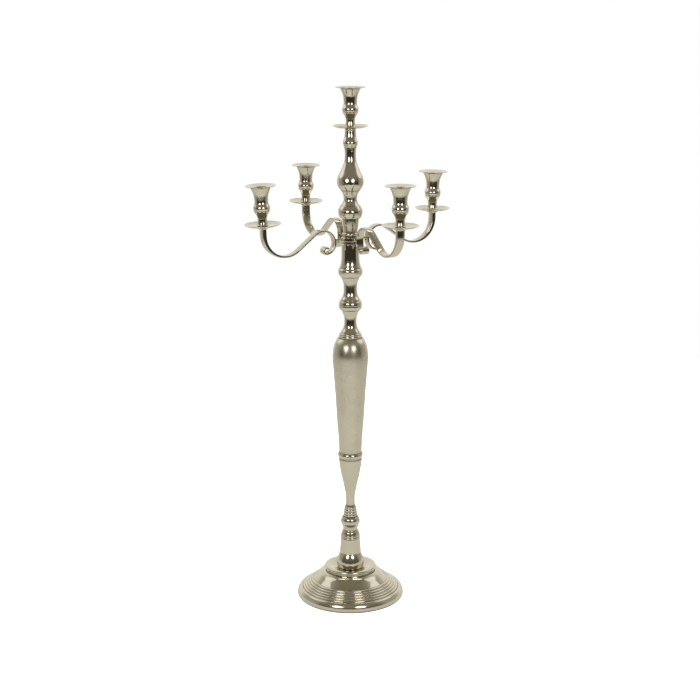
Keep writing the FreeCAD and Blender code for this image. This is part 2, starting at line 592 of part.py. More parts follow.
def candle_cup(seat_z):
    z = cup_foot_z(seat_z)
    top = z + CUP_HEIGHT
    plate_z = top - CUP_RIM_THICKNESS
    mouth_z = top - CUP_DISH
    foot = [(CUP_FOOT_RADIUS - 0.8, z), (CUP_FOOT_RADIUS, z + 1.2), (CUP_FOOT_RADIUS - 0.8, z + 2.4)]
    neck = [
        (CUP_FOOT_RADIUS - 1.4, z + 3.2), (CUP_NECK_RADIUS, z + 11.5), (CUP_NECK_RADIUS + 1.0, z + 17.5),
        (CUP_NECK_RADIUS + 2.8, z + 21.4), (CUP_BULB_RADIUS - 1.9, z + 25.2)]
    ring = bead(CUP_BULB_RADIUS - 1.4, CUP_BULB_RADIUS - 1.4, z + 25.2, z + 27.6, 0.7)
    body = [
        (CUP_BULB_RADIUS - 1.0, z + 28.2), (CUP_BULB_RADIUS, z + 32.6), (CUP_BULB_RADIUS - 0.7, z + 36.4),
        (CUP_WAIST_RADIUS + 0.8, z + 40.0), (CUP_WAIST_RADIUS, z + 44.0),
        (CUP_WAIST_RADIUS + 0.4, z + 50.0), (CUP_WAIST_RADIUS + 1.2, z + 56.6),
        (CUP_WAIST_RADIUS + 2.5, z + 61.0), (CUP_WAIST_RADIUS + 4.2, z + 65.2),
        (CUP_WAIST_RADIUS + 6.8, plate_z - CUP_DISH + 1.6)]
    plate = [(CUP_WAIST_RADIUS + 7.6, plate_z - CUP_DISH + 2.2), (CUP_RIM_RADIUS - 0.6, plate_z)]
    lip = [plate[-1], (CUP_RIM_RADIUS, top - CUP_RIM_THICKNESS / 2), (CUP_RIM_RADIUS - 0.8, top)]
    dish = [
        (CUP_RIM_RADIUS - 0.8, top), (CUP_RIM_RADIUS - 6.0, top - 0.35 * CUP_DISH),
        (CANDLE_HOLE_RADIUS + 4.0, top - 0.78 * CUP_DISH), (CANDLE_HOLE_RADIUS, mouth_z)]
    floor_z = mouth_z - CANDLE_HOLE_DEPTH
    cup = revolved([
        [(0, z)], foot, neck, ring, body, plate, lip, dish, [(CANDLE_HOLE_RADIUS, floor_z)], [(0, floor_z)]])
    return cup.cut(cylinder(STUD_RADIUS, STUD_IN_CUP, z))


CUP_SET = {"cup_ferrule": cup_ferrule, "drip_pan": drip_pan, "cup_stud": cup_stud, "candle_cup": candle_cup}


# ---- Assembly ----
def build():
    """All nodes by name."""
    nodes = {function.__name__: function() for function in (
        base_felt, base_ballast, rod_washer, rod_nut, base_dish, base_plinth, bell_foot, ball_knop,
        ringed_neck, vase_stem, vase_bead, vase_body, vase_cap, lower_knop, column_sleeve, arm_ring,
        upper_socket, upper_knop, pear_knop, top_knob, tie_rod)}
    peg = arm_peg()
    for index in range(ARM_COUNT):
        strap = arm_strap(CREST_RISES[index], BEND_DROPS[index], SCROLL_RADII[index])
        nodes[f"arm_{index + 1}"] = on_arm(strap, index)
        nodes[f"arm_peg_{index + 1}"] = on_arm(peg, index)
    for name, function in CUP_SET.items():
        for index in range(ARM_COUNT):
            shape = function(ARM_SEAT_RISE)
            shape.translate(point(ARM_REACH, 0))
            nodes[f"{name}_{index + 1}"] = on_arm(shape, index)
        nodes[f"{name}_{ARM_COUNT + 1}"] = function(TOP_SEAT_Z)
    return nodes


def export(nodes):
    os.makedirs("parts", exist_ok=True)
    for name, shape in nodes.items():
        solid = shape.Solids[0] if len(shape.Solids) == 1 else shape
        solid.exportStep(f"parts/{name}.step")
        state = "valid" if solid.isValid() else "NOT VALID"
        print(name, state, len(shape.Solids), round(shape.Volume / 1000, 1), "cm3")


export(build())
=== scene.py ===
"""Looks of a five-light candelabra, made in the order in which it is put together. Metres, +Z up."""
import json

import bmesh
import bpy
import numpy as np
from mathutils import Matrix, Vector


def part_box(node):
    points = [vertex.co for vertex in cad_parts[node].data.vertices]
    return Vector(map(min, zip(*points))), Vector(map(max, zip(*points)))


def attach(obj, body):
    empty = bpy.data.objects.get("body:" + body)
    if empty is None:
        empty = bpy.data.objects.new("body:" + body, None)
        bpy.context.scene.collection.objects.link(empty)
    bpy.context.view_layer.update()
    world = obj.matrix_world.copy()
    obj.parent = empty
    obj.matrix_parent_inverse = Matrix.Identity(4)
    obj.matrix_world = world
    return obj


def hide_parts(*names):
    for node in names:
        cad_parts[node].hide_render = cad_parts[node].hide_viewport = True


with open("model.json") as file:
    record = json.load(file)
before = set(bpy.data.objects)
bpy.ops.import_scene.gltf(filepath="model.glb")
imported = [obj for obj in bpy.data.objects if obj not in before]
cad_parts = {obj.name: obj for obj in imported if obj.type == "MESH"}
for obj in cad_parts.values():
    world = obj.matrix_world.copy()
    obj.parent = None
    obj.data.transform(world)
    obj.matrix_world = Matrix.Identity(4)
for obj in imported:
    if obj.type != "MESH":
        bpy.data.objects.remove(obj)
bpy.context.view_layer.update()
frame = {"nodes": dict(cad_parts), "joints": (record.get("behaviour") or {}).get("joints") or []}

# ---- 1. Weight plate, felt, nut, washer and tie rod ----
# A rough iron plate painted black is drawn up under the hollow foot by a nut on the long tie rod.
# The rod carries every casting of the column. Black wool felt is glued under the rim.


def shader_node(tree, kind, links=None, **settings):
    """One node of a shader tree. links gives each named input a value, or a socket to be joined to."""
    made = tree.nodes.new(kind)
    for name, value in settings.items():
        setattr(made, name, value)
    for name, value in (links or {}).items():
        socket = made.inputs[name]
        if isinstance(value, bpy.types.NodeSocket):
            tree.links.new(value, socket)
        else:
            socket.default_value = value
    return made


def finish_material(name, **plain):
    """A material with one Principled shader, whose own sockets are set from plain."""
    made = bpy.data.materials.new(name)
    made.use_nodes = True
    shader = made.node_tree.nodes["Principled BSDF"]
    for socket, value in plain.items():
        shader.inputs[socket.replace("_", " ")].default_value = value
    return made, made.node_tree, shader


def grained_material(name, colours, roughness, grain, grain_height, **plain):
    """Mottled finish: noise of the given grain (per metre) mixes two colours, two roughnesses and a bump."""
    made, tree, shader = finish_material(name, **plain)
    place = shader_node(tree, "ShaderNodeTexCoord").outputs["Object"]
    coarse = shader_node(tree, "ShaderNodeTexNoise", {"Vector": place, "Scale": grain / 12, "Detail": 4.0})
    fine = shader_node(tree, "ShaderNodeTexNoise", {"Vector": place, "Scale": grain, "Detail": 6.0})
    colour = shader_node(tree, "ShaderNodeMix", {0: coarse.outputs["Fac"], 6: colours[0], 7: colours[1]},
                         data_type="RGBA")
    rough = shader_node(tree, "ShaderNodeMapRange", {
        "Value": fine.outputs["Fac"], "To Min": roughness[0], "To Max": roughness[1]})
    bump = shader_node(tree, "ShaderNodeBump", {"Height": fine.outputs["Fac"], "Distance": grain_height})
    tree.links.new(colour.outputs[2], shader.inputs["Base Color"])
    tree.links.new(rough.outputs[0], shader.inputs["Roughness"])
    tree.links.new(bump.outputs[0], shader.inputs["Normal"])
    return made


def dress(cad_node, material):
    """Gives a CAD node its finish."""
    slots = frame["nodes"][cad_node].data.materials
    slots.clear()
    slots.append(material)


black_felt = grained_material(
    "black_wool_felt", [(0.012, 0.012, 0.013, 1), (0.035, 0.034, 0.033, 1)], (0.9, 1.0), 2600, 0.0004,
    Sheen_Weight=0.5)
painted_iron = grained_material(
    "black_painted_iron", [(0.02, 0.02, 0.022, 1), (0.06, 0.055, 0.05, 1)], (0.45, 0.75), 700, 0.0005,
    Metallic=0.0)
zinc_steel = grained_material(
    "zinc_plated_steel", [(0.50, 0.50, 0.50, 1), (0.66, 0.65, 0.62, 1)], (0.28, 0.42), 900, 0.00006,
    Metallic=1.0)
dress("base_felt", black_felt)
dress("base_ballast", painted_iron)
for steel_part in ["rod_washer", "rod_nut", "tie_rod"]:
    dress(steel_part, zinc_steel)
for number in range(1, 6):
    dress(f"cup_stud_{number}", zinc_steel)

# ---- 2. Foot ----
# One casting, hollow underneath: a smooth rolled rim, five half-round ribs and a cone up to the plinth.
# It is turned, mirror-polished and nickel-plated, so fine turning marks still run round it.
MM = 0.001
FINE_STEP = 0.12              # mm between the points that an outline is first worked out at
POLISHED_EDGE = 0.28          # mm, how far the polishing wheel rounds an edge over
ROW_ANGLE = 4.0               # degrees that an outline may turn from one row of the mesh to the next
ROW_STEP = 5.0                # mm between rows at most
ROD_BORE = 5.25               # mm, hole for the tie rod
SEAM_FILM = 0.7               # mm over which the dark film of a seam fades out
SEAM_FILM_FULL = 0.4          # share of SEAM_FILM over which the film is whole
SHARPEST_CURVE = 1.2          # per mm, an edge this sharp counts as fully sharp
CURVE_SPREAD = 0.5            # mm over which hollow and sharp places are spread


def smooth_run(points):
    """Points every FINE_STEP along a line through two points, a circle through three, or else a cubic spline
    whose slope and curvature run on through every point, laid out by the length of its chords."""
    p = np.array(points, float)
    along = np.concatenate([[0], np.cumsum(np.linalg.norm(np.diff(p, axis=0), axis=1))])
    t = np.linspace(0, along[-1], max(3, int(along[-1] / FINE_STEP) + 1))
    if len(p) == 2:
        return p[0] + (p[1] - p[0]) * t[:, None] / along[-1]
    if len(p) == 3:
        sides = 2 * (p[1:] - p[0])
        if abs(np.linalg.det(sides)) > 1e-6:
            centre = np.linalg.solve(sides, (p[1:] ** 2).sum(1) - (p[0] ** 2).sum())
            angle = np.unwrap(np.arctan2(*(p - centre).T[::-1]))
            turn = np.interp(t, along, angle)
            return centre + np.linalg.norm(p[0] - centre) * np.stack([np.cos(turn), np.sin(turn)], 1)
    h = np.diff(along)
    inner = np.arange(1, len(p) - 1)
    system = np.eye(len(p))
    system[inner, inner - 1], system[inner, inner + 1] = h[:-1], h[1:]
    system[inner, inner] = 2 * (h[:-1] + h[1:])
    slope = np.diff(p, axis=0) / h[:, None]
    bend = np.linalg.solve(system, np.concatenate([[[0, 0]], 6 * np.diff(slope, axis=0), [[0, 0]]]))
    k = np.clip(np.searchsorted(along, t, side="right") - 1, 0, len(h) - 1)
    a, b, span = (along[k + 1] - t)[:, None], (t - along[k])[:, None], h[k][:, None]
    return ((bend[k] * a ** 3 + bend[k + 1] * b ** 3) / (6 * span)
            + (p[k] / span - bend[k] * span / 6) * a + (p[k + 1] / span - bend[k + 1] * span / 6) * b)


def running_average(values, spread, closed):
    """Weights each value with its neighbours by a bell curve of that spread in mm, out to three spreads, and
    round the loop if it is closed."""
    reach = max(2, int(3 * spread / FINE_STEP))
    weight = np.exp(-0.5 * (np.arange(-reach, reach + 1) * FINE_STEP / spread) ** 2)
    weight /= weight.sum()
    padded = np.pad(values, [(reach, reach), (0, 0)], mode="wrap" if closed else "edge")
    if not closed:
        padded[:reach] = 2 * values[0] - values[reach:0:-1]
        padded[-reach:] = 2 * values[-1] - values[-2:-reach - 2:-1]
    return np.stack([np.convolve(column, weight, "valid") for column in padded.T], 1)


def turned_outline(runs):
    """Outline of a turned piece from runs of (radius, height) in mm. Returns the rows of its mesh as radius,
    height, length along the outline, and how hollow and how sharp the outline is there, from 0 to 1, and
    whether the outline is a closed loop. An open one starts and ends on the axis."""
    closed = runs[0][0][0] > 1e-6
    ends = list(zip(runs, runs[1:] + runs[:1])) if closed else list(zip(runs, runs[1:]))
    pieces = []
    for run, following in ends:
        pieces += [smooth_run(run)] if len(run) > 1 else []
        if np.hypot(*np.subtract(run[-1], following[0])) > 1e-6:
            pieces.append(smooth_run([run[-1], following[0]]))
    if not closed and len(runs[-1]) > 1:
        pieces.append(smooth_run(runs[-1]))
    path = np.concatenate(pieces)
    path = path[np.concatenate([[True], np.linalg.norm(np.diff(path, axis=0), axis=1) > 1e-9])]
    if closed:
        path = np.concatenate([path, path[:1]])
    length = np.concatenate([[0], np.cumsum(np.linalg.norm(np.diff(path, axis=0), axis=1))])
    even = np.linspace(0, length[-1], int(length[-1] / FINE_STEP) + 1)
    path = np.stack([np.interp(even, length, column) for column in path.T], 1)
    if closed:
        path = path[:-1]
        even = even[:-1]
    path = running_average(path, POLISHED_EDGE, closed)
    if not closed:
        path[[0, -1], 0] = 0
    way = np.roll(path, -1, 0) - np.roll(path, 1, 0) if closed else np.gradient(path, axis=0)
    heading = np.unwrap(np.arctan2(way[:, 1], way[:, 0]))
    curve = np.gradient(heading) / FINE_STEP
    bends = np.clip(np.stack([-curve, curve], 1), 0, SHARPEST_CURVE)
    hollow_and_sharp = running_average(bends, CURVE_SPREAD, closed)
    cost = np.cumsum(np.abs(np.gradient(heading)) / np.radians(ROW_ANGLE) + FINE_STEP / ROW_STEP)
    rows = np.unique(np.concatenate([[0], np.searchsorted(cost, np.arange(1, cost[-1]))]))
    if not closed:
        rows = np.unique(np.append(rows, len(path) - 1))
    return np.column_stack([path, even, np.clip(hollow_and_sharp, 0, 1)])[rows], closed


SAME_POINT = 1e-7             # m


def surface(name, grid, sheet_u, sheet_v, hollow, sharp, wrap_rows):
    """Mesh of a grid of points, rows by columns, closed round its columns, and round its rows if wrap_rows.
    The UV map holds sheet_u and sheet_v. The rows of an open grid that meet in one point are merged there."""
    rows, columns = grid.shape[:2]
    i, j = np.meshgrid(np.arange(rows if wrap_rows else rows - 1), np.arange(columns), indexing="ij")
    next_i, next_j = (i + 1) % rows, (j + 1) % columns
    corners = [i * columns + j, i * columns + next_j, next_i * columns + next_j, next_i * columns + j]
    faces = np.stack(corners, -1).reshape(-1, 4)
    mesh = bpy.data.meshes.new(name)
    mesh.vertices.add(rows * columns)
    mesh.vertices.foreach_set("co", grid.reshape(-1, 3).astype(np.float32).ravel())
    mesh.loops.add(faces.size)
    mesh.loops.foreach_set("vertex_index", faces.ravel().astype(np.int32))
    mesh.polygons.add(len(faces))
    mesh.polygons.foreach_set("loop_start", np.arange(0, faces.size, 4, dtype=np.int32))
    mesh.update(calc_edges=True)
    u = np.stack([sheet_u[j], sheet_u[j + 1], sheet_u[j + 1], sheet_u[j]], -1)
    v = np.stack([sheet_v[i], sheet_v[i], sheet_v[i + 1], sheet_v[i + 1]], -1)
    mesh.uv_layers.new(name="outline").data.foreach_set("uv", np.stack([u, v], -1).ravel())
    for label, values in {"hollow": hollow, "sharp": sharp}.items():
        attribute = mesh.attributes.new(label, "FLOAT", "POINT")
        attribute.data.foreach_set("value", np.repeat(values, columns).astype(np.float32))
    mesh.polygons.foreach_set("use_smooth", np.ones(len(faces), bool))
    if not wrap_rows:
        welded = bmesh.new()
        welded.from_mesh(mesh)
        bmesh.ops.remove_doubles(welded, verts=welded.verts, dist=SAME_POINT)
        welded.to_mesh(mesh)
        welded.free()
    piece = bpy.data.objects.new(name, mesh)
    bpy.context.scene.collection.objects.link(piece)
    return piece


def turned(name, runs, columns, place=Matrix()):
    """Turned piece: each row of the outline is swung round the axis, point = (r cos a, r sin a, z), and then
    placed. Its UV map holds the share of the way round and the length along the outline in metres."""
    rows, closed = turned_outline(runs)
    angle = np.linspace(0, 2 * np.pi, columns + 1)
    radius, height = rows[:, 0, None] * MM, rows[:, 1, None] * MM
    a = angle[None, :-1]
    grid = np.stack([radius * np.cos(a), radius * np.sin(a), height + 0 * a], -1)
    turn, shift = np.array(place.to_3x3()), np.array(place.to_translation())
    along = np.append(rows[:, 2], rows[-1, 2] + FINE_STEP) * MM
    return surface(name, grid @ turn.T + shift, angle / (2 * np.pi), along, rows[:, 3], rows[:, 4], closed)


def shader_group(name, inputs, outputs):
    """An empty shader node group with those sockets. Returns its tree, its input node and its output node."""
    tree = bpy.data.node_groups.new(name, "ShaderNodeTree")
    for direction, sockets in (("INPUT", inputs), ("OUTPUT", outputs)):
        for label, kind in sockets.items():
            tree.interface.new_socket(label, in_out=direction, socket_type="NodeSocket" + kind)
    return tree, tree.nodes.new("NodeGroupInput").outputs, tree.nodes.new("NodeGroupOutput")


def math_node(tree, operation, *values):
    """One Math node on numbers or sockets."""
    return shader_node(tree, "ShaderNodeMath", dict(enumerate(values)), operation=operation).outputs[0]


# Turning marks: noise that is long round the piece and very short along its outline.
marks, given, result = shader_group(
    "turning_marks", {"Outline": "Vector", "Spacing": "Float", "Reach": "Float"},
    {"Lines": "Float"})
outline_uv = shader_node(marks, "ShaderNodeSeparateXYZ", {0: given["Outline"]}).outputs
full_turn = math_node(marks, "MULTIPLY", outline_uv[0], 2 * np.pi)
round_x = math_node(marks, "MULTIPLY", math_node(marks, "COSINE", full_turn), given["Reach"])
round_y = math_node(marks, "MULTIPLY", math_node(marks, "SINE", full_turn), given["Reach"])
steps = math_node(marks, "DIVIDE", outline_uv[1], given["Spacing"])
place = shader_node(marks, "ShaderNodeCombineXYZ", {0: round_x, 1: round_y, 2: steps}).outputs[0]
lines = shader_node(marks, "ShaderNodeTexNoise", {
    "Vector": place, "Scale": 1.0, "Detail": 5.0, "Roughness": 0.6})
marks.links.new(lines.outputs["Fac"], result.inputs["Lines"])

# Handling: soft smudges a few centimetres across, and the dull film that the cloth leaves in hollows.
handling, given, result = shader_group(
    "handling", {"Place": "Vector", "Hollow": "Float"}, {"Smudge": "Float", "Film": "Float"})
cloud = shader_node(handling, "ShaderNodeTexNoise", {"Vector": given["Place"], "Scale": 38.0, "Detail": 5.0})
smudge = shader_node(handling, "ShaderNodeMapRange", {
    "Value": cloud.outputs["Fac"], "From Min": 0.42, "From Max": 0.72}).outputs[0]
speck = shader_node(handling, "ShaderNodeTexNoise", {"Vector": given["Place"], "Scale": 420.0, "Detail": 3.0})
patchy = shader_node(handling, "ShaderNodeMapRange", {
    "Value": speck.outputs["Fac"], "From Min": 0.3, "From Max": 0.6, "To Min": 0.45}).outputs[0]
film = math_node(handling, "MULTIPLY", given["Hollow"], patchy)
handling.links.new(smudge, result.inputs["Smudge"])
handling.links.new(film, result.inputs["Film"])

CLEAN_NICKEL = (0.62, 0.58, 0.455, 1)
WORN_NICKEL = (0.68, 0.64, 0.52, 1)
FILM_COLOUR = (0.10, 0.08, 0.045, 1)
SMUDGE_DULLNESS = 0.6         # share of the way to the most roughness that a smudge goes
MARKS_DULLNESS = 0.5          # and that a turning mark goes


def nickel(name, roughness, spacing, reach, depth, film_amount):
    """Nickel plate: turning marks of the given spacing and depth in metres, broken up more often round the
    piece as reach grows, smudges, edges worn bright and a film in the hollows, at most film_amount thick.
    roughness holds the least and the most."""
    made, tree, shader = finish_material(name, Metallic=1.0)
    coordinates = shader_node(tree, "ShaderNodeTexCoord").outputs
    hollow = shader_node(tree, "ShaderNodeAttribute", attribute_name="hollow").outputs["Fac"]
    sharp = shader_node(tree, "ShaderNodeAttribute", attribute_name="sharp").outputs["Fac"]
    outline = shader_node(tree, "ShaderNodeUVMap", uv_map="outline").outputs[0]
    lines = shader_node(tree, "ShaderNodeGroup", {}, node_tree=marks)
    tree.links.new(outline, lines.inputs["Outline"])
    lines.inputs["Spacing"].default_value = spacing
    lines.inputs["Reach"].default_value = reach
    touch = shader_node(tree, "ShaderNodeGroup", {}, node_tree=handling)
    tree.links.new(coordinates["Object"], touch.inputs["Place"])
    tree.links.new(hollow, touch.inputs["Hollow"])
    worn = shader_node(tree, "ShaderNodeMix", {0: sharp, 6: CLEAN_NICKEL, 7: WORN_NICKEL}, data_type="RGBA")
    film_share = math_node(tree, "MULTIPLY", touch.outputs["Film"], film_amount)
    colour = shader_node(tree, "ShaderNodeMix", {0: film_share, 6: worn.outputs[2], 7: FILM_COLOUR},
                         data_type="RGBA")
    marks_share = math_node(tree, "MULTIPLY", lines.outputs[0], MARKS_DULLNESS)
    uneven = math_node(tree, "MULTIPLY_ADD", touch.outputs["Smudge"], SMUDGE_DULLNESS, marks_share)
    dull = math_node(tree, "ADD", uneven, film_share)
    rough = shader_node(tree, "ShaderNodeMapRange", {
        "Value": dull, "To Min": roughness[0], "To Max": roughness[1]})
    bump = shader_node(tree, "ShaderNodeBump", {"Height": lines.outputs[0], "Distance": depth})
    tree.links.new(colour.outputs[2], shader.inputs["Base Color"])
    tree.links.new(rough.outputs[0], shader.inputs["Roughness"])
    tree.links.new(bump.outputs[0], shader.inputs["Normal"])
    return made


polished_nickel = nickel("polished_nickel_plate", (0.07, 0.17), 0.0009, 1.5, 0.0000022, 0.9)
satin_nickel = nickel("satin_nickel_plate", (0.22, 0.34), 0.0016, 2.0, 0.000012, 0.8)


def fit(piece, material, body, node):
    """Gives a finished piece its material and its body, and hides the CAD node that it stands for."""
    piece.data.materials.append(material)
    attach(piece, body)
    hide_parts(node)


def height_and_radius(node):
    """Lowest point, height and largest radius of a turned CAD node, in mm."""
    low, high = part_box(node)
    return low.z / MM, (high.z - low.z) / MM, (high.x - low.x) / 2 / MM


def seam_film(piece, low, high):
    """Film where castings meet: full at the two ends of the piece, in mm, fading out SEAM_FILM away."""
    mesh = piece.data
    place = np.empty(len(mesh.vertices) * 3, np.float32)
    mesh.vertices.foreach_get("co", place)
    z = place[2::3] / MM
    near_end = np.clip(1 + SEAM_FILM_FULL - np.minimum(z - low, high - z) / SEAM_FILM, 0, 1)
    hollow, sharp = np.empty(len(z), np.float32), np.empty(len(z), np.float32)
    mesh.attributes["hollow"].data.foreach_get("value", hollow)
    mesh.attributes["sharp"].data.foreach_get("value", sharp)
    mesh.attributes["hollow"].data.foreach_set("value", np.maximum(hollow, near_end).astype(np.float32))
    mesh.attributes["sharp"].data.foreach_set("value", (sharp * (1 - near_end)).astype(np.float32))


def column_piece(node, runs, columns=144, material=polished_nickel, body="stand"):
    """Casting of the column in its CAD node's place. runs hold (share of its height, mm inside its largest
    radius) pairs from the bottom up; the hole for the tie rod closes the outline."""
    low, height, radius = height_and_radius(node)
    outer = [[(radius - inside, low + share * height) for share, inside in run] for run in runs]
    loop = [[(ROD_BORE, low)]] + outer + [[(ROD_BORE, low + height)]]
    piece = turned(node + "_casting", loop, columns)
    seam_film(piece, low, low + height)
    fit(piece, material, body, node)


FOOT_RIM_WIDTH = 11.2         # mm, smooth band outside the ribs
FOOT_RIM_RISE = 17.0          # mm, height of the outermost groove
RIB_COUNT = 5
RIB_PITCH = 4.2               # mm
RIB_SLOPE = 0.84              # rise of the ribbed part per millimetre inwards
RIB_CREST = 1.8               # mm that a rib stands above the line of the grooves
FOOT_WALL = 3.0               # mm
FOOT_SEAT = 4.0               # mm that the plinth's flat seat lies inside the plinth
CONE_MARGIN = 1.0             # mm from the plinth's edge to the top of the cone
FELT_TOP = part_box("base_felt")[1].z / MM

plinth_low, plinth_rise, plinth_radius = height_and_radius("base_plinth")
foot_low, foot_height, foot_radius = height_and_radius("base_dish")
foot_top = foot_low + foot_height
rib_edges = [(foot_radius - FOOT_RIM_WIDTH - k * RIB_PITCH, FOOT_RIM_RISE + k * RIB_PITCH * RIB_SLOPE)
             for k in range(RIB_COUNT + 1)]
ribs = [[outer, ((outer[0] + inner[0]) / 2, (outer[1] + inner[1]) / 2 + RIB_CREST), inner]
        for outer, inner in zip(rib_edges, rib_edges[1:])]
rim = [(foot_radius - inside, z) for inside, z in (
    (1.2, FELT_TOP), (0, 3.4), (0.1, 6.4), (1.0, 10.6), (3.2, 14.6), (6.4, FOOT_RIM_RISE + 0.8),
    (9.0, FOOT_RIM_RISE + 1.2), (FOOT_RIM_WIDTH, FOOT_RIM_RISE))]
cone_radius, cone_low = rib_edges[-1]
cone_top_radius = plinth_radius + CONE_MARGIN
shoulder, rise = cone_radius - cone_top_radius, foot_top - cone_low
cone = [(cone_top_radius + share * shoulder, cone_low + up * rise) for share, up in (
    (1.0, 0.0), (0.66, 0.40), (0.30, 0.80))] + [(cone_top_radius, foot_top - 0.5)]
seat_radius = plinth_radius - FOOT_SEAT
inner_edge = foot_radius - 2.6 * FOOT_WALL
underside = [
    [(ROD_BORE, foot_top - FOOT_WALL)], [(seat_radius, foot_top - FOOT_WALL)],
    [(cone_radius - FOOT_WALL, cone_low - FOOT_WALL)], [(inner_edge, FOOT_RIM_RISE - 2.7 * FOOT_WALL)],
    [(inner_edge, FELT_TOP)]]
foot_loop = [rim] + ribs + [cone, [(seat_radius, foot_top)], [(ROD_BORE, foot_top)]] + underside
fit(turned("foot_casting", foot_loop, 288), polished_nickel, "stand", "base_dish")

# ---- 3. Plinth ----
# A turned saucer on top of the foot: its thick rounded edge stands highest and its upper face falls gently
# to the seat of the bell.
PLINTH_FOOT = 3.6             # mm from the foot's top to the underside of the thick edge
PLINTH_EDGE_TOP = 0.5         # mm from the highest point down to the outer top corner
PLINTH_BEAD = 1.2             # mm that the edge is rounded out
PLINTH_UNDERCUT = 1.6         # mm that the neck under the edge is set in
_, _, bell_radius = height_and_radius("bell_foot")
bell_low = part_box("bell_foot")[0].z / MM
edge_low, edge_high = plinth_low + PLINTH_FOOT, plinth_low + plinth_rise - PLINTH_EDGE_TOP
edge_radius = plinth_radius - PLINTH_BEAD
plinth_loop = [
    [(ROD_BORE, plinth_low)], [(edge_radius - PLINTH_UNDERCUT, plinth_low)],
    [(edge_radius - PLINTH_UNDERCUT, edge_low), (edge_radius, edge_low)],
    [(edge_radius, edge_low), (plinth_radius, (edge_low + edge_high) / 2), (edge_radius, edge_high)],
    [(edge_radius, edge_high), (edge_radius - 4, edge_high + PLINTH_EDGE_TOP),
     (edge_radius - 12, edge_high - 0.9), (bell_radius + 3, bell_low + 0.6), (bell_radius - 3, bell_low)],
    [(ROD_BORE, bell_low)]]
fit(turned("plinth_disc", plinth_loop, 216), polished_nickel, "stand", "base_plinth")

# ---- 4. Bell foot, ball and ringed neck ----
# Three castings threaded over the rod: a bell with a round bulb and two collar rings, a ball with a
# waist, and four rings that get smaller. Their ends meet in fine dark seams.
COLLAR = 8.1                  # mm that the bell's collar lies inside its bulb
RING_BULGE = 1.0              # mm that a half-round ring stands out


def rings(count, low, high, inside_low, inside_high):
    """Half-round rings one above another, between two shares of the height."""
    share = np.linspace(low, high, count + 1)
    inside = np.linspace(inside_low + RING_BULGE, inside_high + RING_BULGE, count + 1)
    return [[(share[k], inside[k]),
             ((share[k] + share[k + 1]) / 2, (inside[k] + inside[k + 1]) / 2 - RING_BULGE),
             (share[k + 1], inside[k + 1])] for k in range(count)]


column_piece("bell_foot", [
    [(0, 2.4), (0.03, 1.1), (0.10, 0), (0.19, 0.5), (0.29, 2.2), (0.38, 4.6), (0.44, 7.0)],
    [(0.44, 6.2), (0.50, 6.3), (0.56, COLLAR - 1.5), (0.68, COLLAR - 0.6), (0.86, COLLAR + 0.1)]]
    + rings(2, 0.86, 0.98, COLLAR, COLLAR) + [[(1, COLLAR + 2)]])
column_piece("ball_knop", [[
    (0, 0.8), (0.13, 2.2), (0.22, 4.3), (0.36, 4.1), (0.50, 2.4), (0.61, 0.4), (0.74, 0), (0.89, 1.3),
    (1, 4.1)]])
column_piece("ringed_neck", rings(4, 0, 0.891, -0.31, 2.19) + [[(0.891, 3.19), (1, 4.59)]])

# ---- 5. Vase ----
# The tall middle of the column: a slim stem that flares, a bead, the long satin body, and a stepped cap.
# The body is brushed in fine rings on the lathe; the rest is mirror-polished.
column_piece("vase_stem", [[
    (0, 13.6), (0.05, 14.0), (0.134, 14.1), (0.21, 13.8), (0.31, 12.1), (0.42, 10.0), (0.53, 7.8),
    (0.63, 5.4), (0.74, 3.4), (0.85, 1.6), (1, 0)]])
column_piece("vase_bead", [[(0, 2.2), (0.26, 2.2)], [(0.26, 1.5), (0.62, 0), (0.96, 1.5)], [(1, 2.0)]])
column_piece("vase_body", [[
    (0, 12.6), (0.10, 11.72), (0.28, 8.69), (0.455, 6.3), (0.63, 3.4), (0.77, 0.88), (0.853, 0), (0.91, 1.2),
    (0.955, 4.2), (0.985, 8.4), (1, 11.8)]], material=satin_nickel)
column_piece("vase_cap", [
    [(0, 0.6), (0.047, 0), (0.094, 1.0)],
    [(0.094, 1.8), (0.131, 1.5), (0.168, 3.0)],
    [(0.168, 3.6), (0.243, 5.6), (0.365, 9.2), (0.487, 10.6), (0.636, 11.0), (0.80, 10.0), (0.87, 8.4),
     (0.94, 6.6), (1, 5.2)]])

# ---- 6. Knops, sleeve and pear ----
# Mirror-polished castings, each with a rounded swell and a waist, stacked on the rod on both sides of the
# arm ring, up to the knob that the rod is screwed into.
column_piece("lower_knop", [
    [(0, 3.8), (0.04, 1.6), (0.15, 0.3)], [(0.15, 0.1), (0.19, 0), (0.28, 2.0)],
    [(0.28, 2.9), (0.345, 4.6), (0.40, 6.8), (0.47, 8.5), (0.59, 9.5), (0.70, 9.4), (0.80, 9.0), (0.89, 7.2),
     (0.95, 5.5), (1, 4.4)]])
column_piece("column_sleeve", [
    [(0, 4.8), (0.04, 2.6), (0.16, 0.3)], [(0.16, 0.1), (0.18, 0), (0.258, 2.2)],
    [(0.258, 2.8), (0.30, 3.3), (0.34, 4.2), (0.39, 5.2), (0.45, 5.8), (0.54, 6.3), (0.675, 6.5),
     (0.81, 6.5)],
    [(0.97, 6.5)], [(1, 7.5)]])
column_piece("upper_socket", [
    [(0, 1.7), (0.085, 0.7), (0.17, 1.8)],
    [(0.17, 3.2), (0.34, 2.7), (0.64, 1.2), (0.85, 0.4), (1, 0)]])
column_piece("upper_knop", [
    [(0, 4.9), (0.06, 2.5), (0.185, 0.5)], [(0.185, 0.3), (0.25, 0), (0.32, 0.7)],
    [(0.32, 1.5), (0.385, 2.8), (0.45, 4.5)],
    [(0.45, 5.1), (0.50, 7.5), (0.55, 8.9), (0.62, 10.4), (0.70, 11.0), (0.76, 10.7), (0.824, 10.1),
     (0.928, 7.6), (1, 5.2)]])
